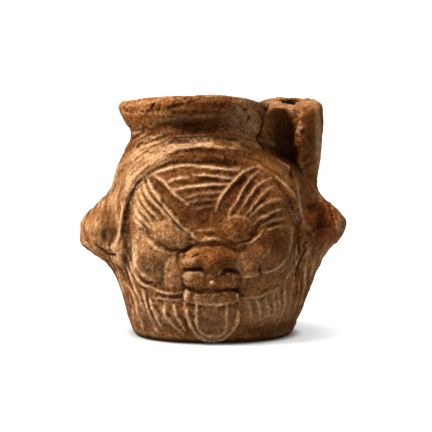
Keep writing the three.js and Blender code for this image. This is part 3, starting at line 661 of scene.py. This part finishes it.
# Modelling streaks: long thin lumps along the band and over the shoulders above the ears, upright lower down,
# weaker on the spout's column and behind, none at the rim and the foot.
def streaks(points):
    x, y, z = points.T
    p = wander(points[:, [0, 2]])
    gap, along = nearest(p, band)
    squareness = np.where(p[:, 0] < 0, *bandSquareness)
    outside = (np.abs(p[:, 0] / bandHalf) ** squareness
               + (np.clip(p[:, 1] - bandCentre[1], 0, None) / bandUp) ** squareness) > 1
    side = np.where(outside, gap, -gap)
    inward = y * 0.2
    sweeping = lumps(np.stack([side, along * 13, inward], axis=1), 0.8, 41) \
        + 0.7 * lumps(np.stack([side, along * 12, inward], axis=1), 0.45, 42) \
        + 0.5 * lumps(np.stack([side, along * 30, inward], axis=1), 2.2, 45)
    turn = np.arctan2(x, -y) * 34
    upright = lumps(np.stack([turn + 0.25 * z, z / 6, 0 * turn], axis=1), 1, 43) \
        + 0.7 * lumps(np.stack([turn, z / 6, 0 * turn], axis=1), 0.55, 44)
    level = smooth(30, 42, z)
    free = np.where(outside, 1, smooth(5, 2.5, gap))
    facing = smooth(12, -4, y)
    above = mix(upright * 0.6, sweeping * free, facing)
    below = upright * np.where(np.abs(x) < 27, smooth(12, -4, -y), 1)
    column = mix(1, 0.3, smooth(26, 30, x) * smooth(52, 56, z))
    behind = mix(1, skin["streaksBehind"], smooth(-2, 10, y))
    return mix(below, above, level) * smooth(80, 70, z) * smooth(0.5, 4, z) * column * behind


# Cracks seen from the front: three places and the width.
cracks = (
    (17, 82.6, 17.6, 81, 18.7, 79.2, 0.55), (16.2, 79.2, 17.2, 76.4, 16.9, 72.6, 0.4),
    (16.9, 72.6, 16.2, 69.4, 18.6, 65.6, 0.4), (32.2, 34.6, 31.4, 31.4, 30.6, 28.6, 0.5),
    (30.8, 29, 29.6, 26, 28.2, 23, 0.45), (-41.4, 32.8, -38.4, 31, -34.4, 30.2, 0.42),
    (16, 28.3, 16.1, 26.8, 16.5, 25.4, 0.4), (-7.3, 31.3, -6.4, 31.9, -5.2, 32.2, 0.35),
    (-2.2, 32.2, -1.9, 32.1, -1.6, 32, 0.35), (-26, 67.6, -25.2, 68.6, -24.2, 69, 0.4),
    (-21.4, 81.2, -20.8, 82.4, -20.2, 83, 0.4), (12.2, 77.6, 12.6, 76.8, 12.3, 76.2, 0.45),
    (10.8, 80.8, 11.2, 80.4, 11.6, 80.2, 0.45), (26.6, 60.4, 27, 58.6, 28, 57, 0.45),
    (28.8, 79.8, 29.6, 79, 30.6, 78.8, 0.5),
)


# Share of a crack at each place: exp(-(distance / width)^2) on the front, with the strokes' wander doubled.
def crackShare(points, normals):
    p = wander(wander(points[:, [0, 2]]))
    share = np.zeros(len(points))
    facing = (normals[:, 1] < 0.5) & (points[:, 1] < 3)
    for *places, width in cracks:
        stroke = arc(*places)
        near = closeTo(p, stroke, 3 * width)
        near = near[facing[near]]
        share[near] = np.maximum(share[near], np.exp(-(nearest(p[near], stroke)[0] / width) ** 2))
    return share


# Uneven skin: lumps of four sizes and the streaks along the normals, less the cracks, left off at the foot's edge.
# On the spout's column and top and in the right ear coarser chips are added.
def roughen(points, normals):
    x, y, z = points.T
    column = smooth(24, 28, x) * smooth(36.2, 34.6, x) * smooth(56, 62, z) * smooth(4, 0, y)
    rightEar = smooth(7.5, 5.5, np.hypot(x - 37.7, z - 42)) * smooth(0, -4, y)
    top = 0.7 * smooth(82, 83, z) * smooth(15, 18, x)
    chipped = np.maximum(np.maximum(column, rightEar), top)
    rise = chipped * layered(points, skin["chips"]) + layered(points, skin["lumps"]) \
        + skin["streaks"] * streaks(points) - skin["cracks"] * crackShare(points, normals)
    return points + normals * (rise * smooth(0.2, 2, z))[:, None]


# Millimetre points back into the mesh.
def writeMesh(mesh, points):
    mesh.vertices.foreach_set("co", (points * mm).ravel())
    mesh.update()


print("vessel: spout's foot rounded into the ear")
points, normals, edges = readMesh(vessel.data)
joint = smooth(8, 3, np.hypot(points[:, 0] - 36.4, (points[:, 2] - 51.6) * 0.9)) * smooth(-22, -10, points[:, 1])
writeMesh(vessel.data, mix(points, spread(points, edges, skin["jointRounds"]), joint[:, None]))
print("vessel: skin unevenness")
points, normals, edges = readMesh(vessel.data)
writeMesh(vessel.data, roughen(points, normals))
print("vessel: readings")
points, normals, edges = readMesh(vessel.data)
x, y, z = points.T
fine = spread(points, edges, skin["fineRounds"])
broad = spread(fine, edges, skin["broadRounds"])
# calmer behind, where the mesh is coarser, on the spout, round the ears' bowls and on the right of the face
calmer = mix(1, 0.2, smooth(0, 10, y))
calmer = calmer * mix(1, 0.05, smooth(16, 19, x) * smooth(58, 64, z)) * smooth(0.5, 6, z)
calmer = calmer * mix(1, 0.35, smooth(8, 5, np.hypot(np.abs(x + 1) - 36.7, z - 40)))
calmer = calmer * mix(1, 0.7, smooth(0, 10, x))
fineHollow = np.sum((fine - points) * normals, axis=1) * calmer
broadHollow = np.sum((broad - points) * normals, axis=1) * calmer
front = np.nonzero((normals[:, 1] < 0.6) & (y < 3))[0]
pale = np.zeros(len(points))
pale[front] = paleLines(wander(points[front][:, [0, 2]]), 0.4)
# Marks on the front: share, middle x and z, both radii, softness if it isn't 0.9, turn in degrees if there is one.
marks = dict(
    dark=(
        # soot and earth left on the face, with painted shade in the creases beside the nose and over the left eye,
        # along the top of the nose, on its right side, on the right cheek and at the foot's lower right
        (0.7, -20.6, 28.6, 4.6, 3.4, 0.8), (0.85, 18.8, 36.8, 5.6, 3.2, 0.9, -12),
        (0.5, -5.6, 44.4, 4.8, 3, 0.9, -20), (0.5, -2, 50, 7, 4, 1), (0.7, 8, 41.8, 1.9, 1.7, 0.6),
        (0.5, 3.6, 36.2, 2.2, 2), (0.6, 0, 35.8, 6.4, 1, 0.8), (0.6, -12, 41.4, 2.2, 0.8, 0.7, -28),
        (0.5, -2.6, 18.4, 5.5, 0.9, 0.8), (0.5, 3, 29.6, 3.6, 3.4), (0.6, -11.6, 30, 0.9, 2.8),
        (0.35, 18, 31, 8, 7, 1), (0.3, -1, 56, 14, 8, 1), (0.3, 12, 21.5, 4, 3, 1),
        (0.5, 21, 3.2, 9, 3.4, 1), (0.4, -0.2, 9.4, 3.6, 4.4),
        # painted shade in the ears' bowls and under the left ear
        (0.85, -37.9, 36.2, 1.4, 2.9), (0.75, -34.7, 37, 1.7, 3.2), (0.4, -37, 36, 4.4, 3.8),
        (0.6, -31, 28.8, 1.8, 1.2, 0.9, -30), (0.5, -41.8, 36.2, 1.2, 0.9),
        (0.45, -37, 33, 4, 0.9, 0.9, -12), (0.85, 35.4, 46, 3.6, 1.5, 0.8, -20),
        (0.9, 38, 41.4, 1.6, 2.9, 0.8, 10), (0.7, 41.6, 40.2, 1, 1.7), (0.65, 33.8, 37.6, 1.7, 1.3),
        (0.35, -37.4, 39.6, 2.2, 1.4),
        # the lip and the shade below it
        (0.3, -1, 81.6, 15, 2.4), (0.95, -4.2, 74.8, 10, 2.7, 0.8), (0.6, -2, 76, 16, 4.4, 1),
        (0.45, 0, 65.4, 14, 2),
        # the side spout
        (0.7, 31.8, 65, 1.9, 7), (0.6, 34.6, 70, 1.6, 9), (0.6, 32.6, 77, 1.2, 1.6),
        (0.6, 28.6, 78.2, 1.4, 1), (0.6, 30.8, 61, 3.2, 6), (0.9, 31.4, 71.6, 0.9, 1.3, 0.7),
    ),
    worn=(  # bare orange clay where it is rubbed or broken
        (0.35, 0.6, 30.6, 4.2, 3.4), (0.5, -7.6, 31.4, 2.6, 1.6, 0.9, 20), (0.5, 20.6, 51.4, 3, 2.4),
        (0.4, 21.6, 28.6, 2.6, 2), (0.6, -27, 4.6, 2.8, 3.4), (0.5, -14, 3.4, 8, 1.8),
        (0.45, 1.5, 5.6, 4.6, 2.2), (0.4, 10.5, 10, 1.6, 4), (1, 37.8, 41.8, 6.6, 6.6, 0.5),
        (0.5, -44, 38, 3.6, 4.6), (0.7, -23, 83, 12, 2.2, 0.8, 8), (0.6, -28, 78, 4, 2.4),
        (0.5, 4, 84.6, 16, 0.8, 0.8), (0.3, 27, 83, 12, 2, 0.8), (0.9, 30.6, 74, 2.6, 6),
        (0.6, 34.8, 77, 2, 5), (0.4, 33, 60, 3, 4), (0.4, -15.5, 73.6, 4.6, 2),
        (0.45, 10.6, 76, 6, 8),
    ),
    light=(  # pale slip, with painted highlights on the face's left border, the upper lip's left top and the spout column's lit side
        (0.5, -36, 53, 3, 8, 1), (0.8, 30.3, 73.4, 0.9, 1.8), (0.4, 30.2, 78.4, 1.2, 1.4),
        (0.3, 33.5, 82.2, 5, 1.2), (0.35, 21.5, 81.6, 4, 1), (0.5, -20, 66, 7, 4, 1, 25),
        (0.45, -27, 58, 4, 9, 1, -20), (0.6, 2.2, 67.6, 1.6, 0.7, 0.8, -20),
        (0.5, -36.6, 36.8, 0.7, 2.6, 0.8), (0.8, -26.9, 31, 1.1, 5.6), (0.55, -24.6, 37.2, 2.8, 1.2, 0.9, -10),
        (0.5, -26.4, 45.6, 1.6, 6, 0.9, 12), (0.5, -8.6, 24.8, 1.8, 1.6), (0.95, -0.2, 22.5, 0.9, 0.9, 0.6),
        (0.6, -9, 17.8, 1, 2.6, 0.8), (0.4, -5.6, 17.4, 1, 1.8, 0.8), (0.15, -13.4, 28, 1.6, 3.6, 1),
        (0.3, -13, 22, 4, 1.6, 1), (0.42, 10.6, 76, 5.4, 8, 1), (0.25, -8, 30.8, 2.2, 1.6),
        (0.3, 18, 13, 9, 6, 1), (0.5, 37.1, 69, 1.1, 14, 0.9, 2),
        (0.35, 37.5, 27, 3.6, 7, 1, -24), (0.3, -40.6, 38, 3.6, 5.6), (0.16, -20, 30, 9, 9, 1),
        (0.14, 18, 26, 9, 7.5, 1), (0.2, 0, 8.6, 8.6, 8.6, 1),
        (0.14, -15, 38.6, 8, 5.4, 1, -20), (0.16, -20, 10, 9, 9, 1), (0.35, 9, 29, 1, 3),
    ),
    burntAndShade=(  # smoked, redder clay, with painted shade under the lip, on the band's front and on the right cheek, ear and foot
        (1.3, -1, 81.4, 17, 3.2), (0.6, -2, 75.6, 18, 5, 1), (0.95, 1, 65.2, 15, 2.6),
        (1, 2, 57, 15, 9, 1.2), (0.6, 9, 41, 7.5, 5.5, 1), (0.5, -25, 9, 6, 12, 1),
        (0.45, -2, 46, 10, 6, 1.2), (0.65, 1, 31, 9, 5, 1), (0.4, 18, 32, 9, 9, 1.2),
        (0.25, 1, 8, 8, 8, 1.2), (0.5, 20, 5, 14, 4, 1), (0.5, 31, 64, 4, 14, 1),
        (0.6, 37.5, 36, 6, 5, 1),
    ),
)
# Marks along strokes: share, width of the bell, stroke.
strokeMarks = dict(
    dark=(
        (0.6, 1.9, arc(-20.6, 57, -14.4, 50.8, -7.6, 43)), (0.45, 1.5, arc(13.2, 58.8, 7.2, 52.4, 2.4, 44.2)),
    ),
    # pale slip and painted highlights along the ledge, the left ear's inner rim, the lip's roll, the nose tip's rim
    # and the right nose wing's edge
    light=(
        (0.7, 1.4, chain(arc(-22, 63.8, -15.6, 67.6, -10, 69.4), arc(-10, 69.4, -5, 69.8, -1.4, 69.2))),
        (0.7, 0.6, chain(arc(-33.2, 44, -32.4, 38.4, -33.2, 34.6), arc(-33.2, 34.6, -34.2, 32.8, -37, 32.4))),
        (0.35, 0.6, arc(-18, 76.8, -6, 78.2, 6, 78.8)), (0.4, 0.55, arc(-4.4, 27.2, -0.4, 25.2, 4.2, 27.4)),
        (0.3, 0.5, arc(9, 27.6, 10.4, 29.4, 9.6, 32)),
    ),
)
rim = points[front]
ragged, fineRagged = 0.22 * lumps(rim, 1.6, 5), 0.12 * lumps(rim, 0.6, 6)


# Soft oval patch on the front: 1 inside, falling to 0 over the last part of its radius, edge broken by lumps.
def patch(centreX, centreZ, radiusX, radiusZ, soft=0.9, turn=0):
    c, s = math.cos(math.radians(turn)), math.sin(math.radians(turn))
    dx, dz = rim[:, 0] - centreX, rim[:, 2] - centreZ
    reach = np.hypot((dx * c + dz * s) / radiusX, (dz * c - dx * s) / radiusZ)
    return smooth(1 + soft / 2, 1 - soft / 2, reach + ragged + fineRagged)


# Strongest mark at each place: the highest of share * patch and share * exp(-(distance / width)^2).
def strongest(name):
    value = np.zeros(len(rim))
    for share, *form in marks[name]:
        value = np.maximum(value, share * patch(*form))
    for share, width, stroke in strokeMarks.get(name, ()):
        value = np.maximum(value, share * np.exp(-(nearest(rim[:, [0, 2]], stroke)[0] / width) ** 2))
    everywhere = np.zeros(len(points))
    everywhere[front] = value
    return everywhere


dark = np.maximum(strongest("dark"), crackShare(points, normals))
# painted shade in the hollow beside the neck, as deep as the hollow, fainter towards the top
hollowShare = frontHollow(x, z) / spout["hollowDepth"] * smooth(4, 1, y) * smooth(-9, -6, y)
dark = np.maximum(dark, 0.9 * np.sqrt(hollowShare) * mix(1, 0.4, smooth(67, 77, z)))
# shade in the hollow: from the neck to its ragged right side, fainter towards the top
shade = smooth(16.4, 24.5, x + 0.8 * lumps(points, 2.4, 72)) \
    * smooth(0.9, -0.6, x - hollowSide(z) + 0.7 * lumps(points, 1.6, 73))
shade = shade * mix(1, 0.55, smooth(70, 78, z))
shade = shade * smooth(80.4, 77.6, z + 0.8 * lumps(points, 2, 74)) * smooth(55, 60, z)
shade = mix(0.25, 0.97, shade) * smooth(0, 0.1, shade)
dark = np.maximum(dark, shade * smooth(3, 1, y) * smooth(-13.5, -12, y))
# painted shade inside the bore, below the sloping top
fromBore = np.hypot(x - spoutX, y - spoutY - spout["boreBehind"]) / (spout["bore"] / 2)
below = z - (spout["top"] - spout["slope"] * (spout["back"] - y))
dark = np.maximum(dark, smooth(2, 1.7, fromBore) * smooth(-0.1, -0.6, below) * smooth(52, 56, z))
# painted shade along the foot, darkest next to the floor, its upper edge broken by lumps
low = z + 0.8 * lumps(points, 2.2, 71)
dark = np.maximum(dark, 0.7 * smooth(2.2, 1.2, low) + 0.3 * smooth(4.5, 1.5, low))
streak = streaks(points)
light = strongest("light") * np.clip(0.8 + 0.6 * streak, 0.2, 1.2)
# painted light on the spout's upward-facing top, broken by lumps
spoutTopLight = smooth(0.5, 0.8, normals[:, 2]) * smooth(-1.2, -0.4, below) * smooth(15, 18, x)
light = np.maximum(light, spoutTopLight * np.clip(0.22 + layered(points, ((0.5, 1.6, 75), (0.3, 0.7, 76))), 0, 0.7))
for name, values in (
    ("burntAndShade", strongest("burntAndShade")), ("light", light), ("streak", streak), ("dark", dark), ("worn", strongest("worn")),
    ("fineHollow", fineHollow), ("broadHollow", broadHollow), ("pale", pale),
):
    keep(vessel.data, name, values)

# Fired clay with a pale slip, soot, rubbed orange places, painted shade and painted highlights: colours, sizes of the
# noises in millimetres, shares.
look = dict(
    deep=(0.100, 0.037, 0.0088), body=(0.168, 0.070, 0.0215), dark=(0.021, 0.0054, 0.0009),
    slip=(0.45, 0.29, 0.16), worn=(0.19, 0.052, 0.0088), burntAndShade=(0.080, 0.0235, 0.0042), roughness=0.85, gloss=0.03,
    grain=0.55, clouds=9, speckle=0.32, mottle=1.5, rust=2.4, pores=0.9, poreFields=2.6,
    rustShare=0.38, streakShare=0.55, hollowShare=0.75, crestShare=0.34, pitShare=0.75, fineWeight=5, broadWeight=0.9,
    speckleRange=((0.46, 0.41, 0.34), (1.54, 1.58, 1.66)), mottleRange=((0.76, 0.72, 0.66), (1.22, 1.22, 1.24)),
)


# Short names for the material's nodes; a socket takes a number, a colour or another node's output.
class Tree:
    def __init__(self, material):
        material.use_nodes = True
        self.nodes = material.node_tree.nodes
        self.links = material.node_tree.links
        self.shader = self.nodes["Principled BSDF"]
        self.place = self.nodes.new("ShaderNodeTexCoord").outputs["Object"]

    def plug(self, value, socket):
        if isinstance(value, (int, float, tuple)):
            socket.default_value = value if not isinstance(value, tuple) or len(value) != 3 else (*value, 1)
        else:
            self.links.new(value, socket)

    def node(self, kind, inputs, **settings):
        node = self.nodes.new("ShaderNode" + kind)
        for name, value in settings.items():
            setattr(node, name, value)
        for name, value in inputs.items():
            self.plug(value, node.inputs[name])
        return node

    def noise(self, size, detail=4, roughness=0.6):
        inputs = {"Vector": self.place, "Scale": 1 / (size * mm), "Detail": detail, "Roughness": roughness}
        return self.node("TexNoise", inputs).outputs["Fac"]

    def cells(self, size):
        return self.node("TexVoronoi", {"Vector": self.place, "Scale": 1 / (size * mm)}).outputs["Distance"]

    def value(self, name):
        return self.node("Attribute", {}, attribute_name=name).outputs["Fac"]

    def ramp(self, value, low, high, start=0, end=1):
        inputs = {"Value": value, "From Min": low, "From Max": high, "To Min": start, "To Max": end}
        return self.node("MapRange", inputs, interpolation_type="SMOOTHSTEP").outputs["Result"]

    def sum(self, first, second, operation="ADD"):
        return self.node("Math", {0: first, 1: second}, operation=operation).outputs[0]

    def times(self, first, second):
        return self.sum(first, second, "MULTIPLY")

    def blend(self, share, first, second, mode="MIX"):
        inputs = {"Factor": share, "A": first, "B": second}
        return self.node("Mix", inputs, data_type="RGBA", blend_type=mode).outputs["Result"]

    def bump(self, height, distance, strength, normal=None):
        inputs = {"Height": height, "Distance": distance * mm, "Strength": strength}
        if normal:
            inputs["Normal"] = normal
        return self.node("Bump", inputs).outputs["Normal"]


clay = bpy.data.materials.new("terracotta")
t = Tree(clay)
grain = t.noise(look["grain"], 5, 0.65)
clouds = t.noise(look["clouds"], 4, 0.6)
speckle = t.noise(look["speckle"], 3, 0.6)
mottle = t.noise(look["mottle"], 4, 0.7)
colour = t.blend(t.ramp(clouds, 0.3, 0.7), look["deep"], look["body"])
fine, broad = t.times(t.value("fineHollow"), look["fineWeight"]), t.times(t.value("broadHollow"), look["broadWeight"])
hollow = t.sum(t.sum(fine, broad), t.ramp(grain, 0.25, 0.75, -0.35, 0.35))
rust = t.times(t.ramp(t.noise(look["rust"], 3, 0.7), 0.5, 0.66, 0, look["rustShare"]), t.ramp(speckle, 0.3, 0.6, 0.4))
wornShare = t.times(t.value("worn"), t.ramp(mottle, 0.36, 0.56, 0.3))
# redder clay and painted shade, broken by the mottle
burntAndShadeShare = t.times(t.value("burntAndShade"), t.ramp(mottle, 0.42, 0.62, 1, 0.45))
# pale slip with painted highlights, and soot, cracks and earth with painted shade, both broken by the grain
lightShare = t.times(t.value("light"), t.ramp(grain, 0.3, 0.6, 0.45))
darkShare = t.times(t.value("dark"), t.ramp(grain, 0.3, 0.65, 1, 0.7))
crests = t.ramp(t.times(hollow, -1), 0.3, 1.4, 0, look["crestShare"])
crestShare = t.times(crests, t.ramp(t.value("burntAndShade"), 0.1, 0.6, 1, 0.2))
paleShare = t.times(t.value("pale"), t.ramp(grain, 0.25, 0.6, 0.5))
pore = t.ramp(t.cells(look["pores"]), 0.1, 0.26)
poreShare = t.times(t.ramp(t.noise(look["poreFields"], 2), 0.52, 0.64), look["pitShare"])
for share, tone in (
    (rust, "worn"), (wornShare, "worn"), (t.ramp(t.value("streak"), 0.1, 1.1, 0, look["streakShare"]), "slip"),
    (t.ramp(t.value("streak"), -0.1, -1.1, 0, look["streakShare"]), "dark"), (burntAndShadeShare, "burntAndShade"),
    (lightShare, "slip"), (darkShare, "dark"), (t.ramp(hollow, 0.05, 1, 0, look["hollowShare"]), "dark"),
    (crestShare, "slip"), (paleShare, "slip"), (t.times(t.sum(1, pore, "SUBTRACT"), poreShare), "dark"),
):
    colour = t.blend(share, colour, look[tone])
colour = t.blend(1, colour, t.blend(t.ramp(speckle, 0.3, 0.7), *look["speckleRange"]), "MULTIPLY")
colour = t.blend(1, colour, t.blend(t.ramp(mottle, 0.36, 0.62), *look["mottleRange"]), "MULTIPLY")
t.links.new(colour, t.shader.inputs["Base Color"])
t.shader.inputs["Roughness"].default_value = look["roughness"]
t.shader.inputs["Specular IOR Level"].default_value = look["gloss"]
rough = None
for height, distance, strength in ((grain, 0.6, 0.9), (speckle, 0.4, 0.9), (pore, 0.35, 0.5)):
    rough = t.bump(height, distance, strength, rough)
t.links.new(rough, t.shader.inputs["Normal"])
vessel.data.materials.clear()
vessel.data.materials.append(clay)

# Floor in metres, turned up at the back; the shade round the foot is an oval in millimetres.
sheet = dict(front=-20, bend=30, turn=6, top=30, halfWidth=40, shadeX=29, shadeY=28, colour=(0.15, 0.153, 0.158))
floorMesh = bpy.data.meshes.new("floor")
sweep = np.linspace(0, math.pi / 2, 13)
rise = sheet["bend"] + sheet["turn"] * np.sin(sweep)
profileY = np.concatenate([[sheet["front"]], rise, rise[-1:]])
profileZ = np.concatenate([[0], sheet["turn"] * (1 - np.cos(sweep)), [sheet["top"]]])
sides = (-sheet["halfWidth"], sheet["halfWidth"])
floorPoints = [(side, back, up) for back, up in zip(profileY, profileZ) for side in sides]
floorFaces = [(2 * i, 2 * i + 1, 2 * i + 3, 2 * i + 2) for i in range(len(profileY) - 1)]
floorMesh.from_pydata(floorPoints, [], floorFaces)
floor = added("floor", floorMesh)
white = bpy.data.materials.new("paper")
w = Tree(white)
w.shader.inputs["Base Color"].default_value = (*sheet["colour"], 1)
w.shader.inputs["Roughness"].default_value = 1
w.shader.inputs["Emission Color"].default_value = (1, 1, 1, 1)
flatten = w.node("VectorMath", {0: w.place}, operation="MULTIPLY")
flatten.inputs[1].default_value = (1 / (sheet["shadeX"] * mm), 1 / (sheet["shadeY"] * mm), 0)
reach = w.node("VectorMath", {0: flatten.outputs[0]}, operation="LENGTH").outputs["Value"]
contact = w.ramp(reach, 0.94, 1.14, 0.06, 0.6)  # shade under the foot
fading = w.ramp(reach, 1.05, 1.75, 0, 0.38)  # the shadow fades away from it
w.links.new(w.sum(contact, fading), w.shader.inputs["Emission Strength"])
floorMesh.materials.append(white)

studio = dict(
    keyStrength=12.6, keySoftness=28, keyAzimuth=-65, keyHeight=52, keyColour=(1, 0.95, 0.88),
    world=0.28, worldColour=(1, 0.84, 0.66), sensor=36, lens=180.4, viewFrom=(0.00107, -0.765, 0.115), viewTilt=5.47,
)
keyData = bpy.data.lights.new("key", "SUN")
keyData.energy = studio["keyStrength"]
keyData.color = studio["keyColour"]
keyData.angle = math.radians(studio["keySoftness"])
key = added("key", keyData)
key.rotation_euler = (math.radians(90 - studio["keyHeight"]), 0, math.radians(studio["keyAzimuth"]))
world = bpy.data.worlds.new("studio")
world.use_nodes = True
world.node_tree.nodes["Background"].inputs["Color"].default_value = (*studio["worldColour"], 1)
world.node_tree.nodes["Background"].inputs["Strength"].default_value = studio["world"]
bpy.context.scene.world = world
bpy.context.scene.view_settings.view_transform = "Standard"

lens = bpy.data.cameras.new("view")
lens.sensor_width = studio["sensor"]
lens.lens = studio["lens"]
lens.clip_start = 0.01
camera = added("view", lens)
camera.location = studio["viewFrom"]
camera.rotation_euler = (math.radians(90 - studio["viewTilt"]), 0, 0)
bpy.context.scene.camera = camera
